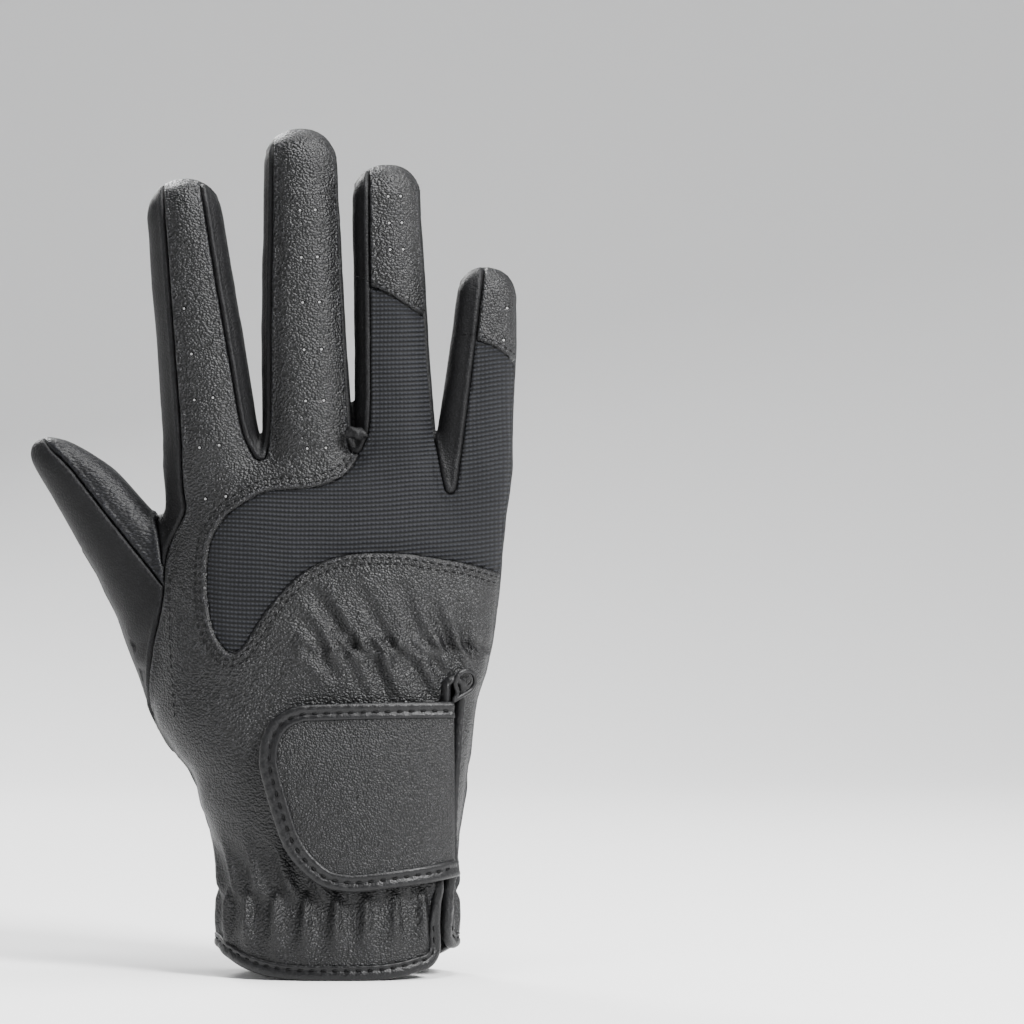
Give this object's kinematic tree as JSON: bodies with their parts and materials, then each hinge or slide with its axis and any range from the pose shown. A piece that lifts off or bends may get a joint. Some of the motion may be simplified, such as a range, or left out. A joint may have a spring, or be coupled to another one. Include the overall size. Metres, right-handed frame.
{
  "type": "riding glove",
  "caption": "Right-hand leather riding glove with knit back window, side strips between the fingers, gathered cuff, bound slit and a bound closing tab over it; hollow, held open as when worn",
  "frame": {"origin": "middle of the wrist opening, where the hand goes in", "axes": "+Z from the wrist opening to the middle fingertip; the back of the hand faces -Y, the palm +Y; the thumb points to -X, the little finger to +X"},
  "size_m": [0.1308, 0.0466, 0.2282],
  "materials": {
    "palm_leather": "smooth charcoal leather with a fine cross grain",
    "back_leather": "pebbled charcoal leather with a satin sheen",
    "strip_leather": "soft charcoal leather",
    "tab_leather": "finely pebbled charcoal leather",
    "binding": "smooth dark leather binding with one row of stitches",
    "knit": "fine horizontally ribbed knit, faintly blue"
  },
  "bodies": {
    "root": {"palm_panel": "palm_leather", "back_leather": "back_leather", "knit_panel": "knit", "ring_tip": "back_leather", "pinky_tip": "back_leather", "fourchette_index_middle": "strip_leather", "fourchette_middle_ring": "strip_leather", "fourchette_ring_pinky": "strip_leather", "index_side_strip": "strip_leather", "thumb_panel": "palm_leather", "thumb_back_panel": "strip_leather", "closing_tab": "tab_leather", "tab_binding": "binding", "cuff_binding": "binding", "crotch_knot": "strip_leather"}
  },
  "joints": []
}
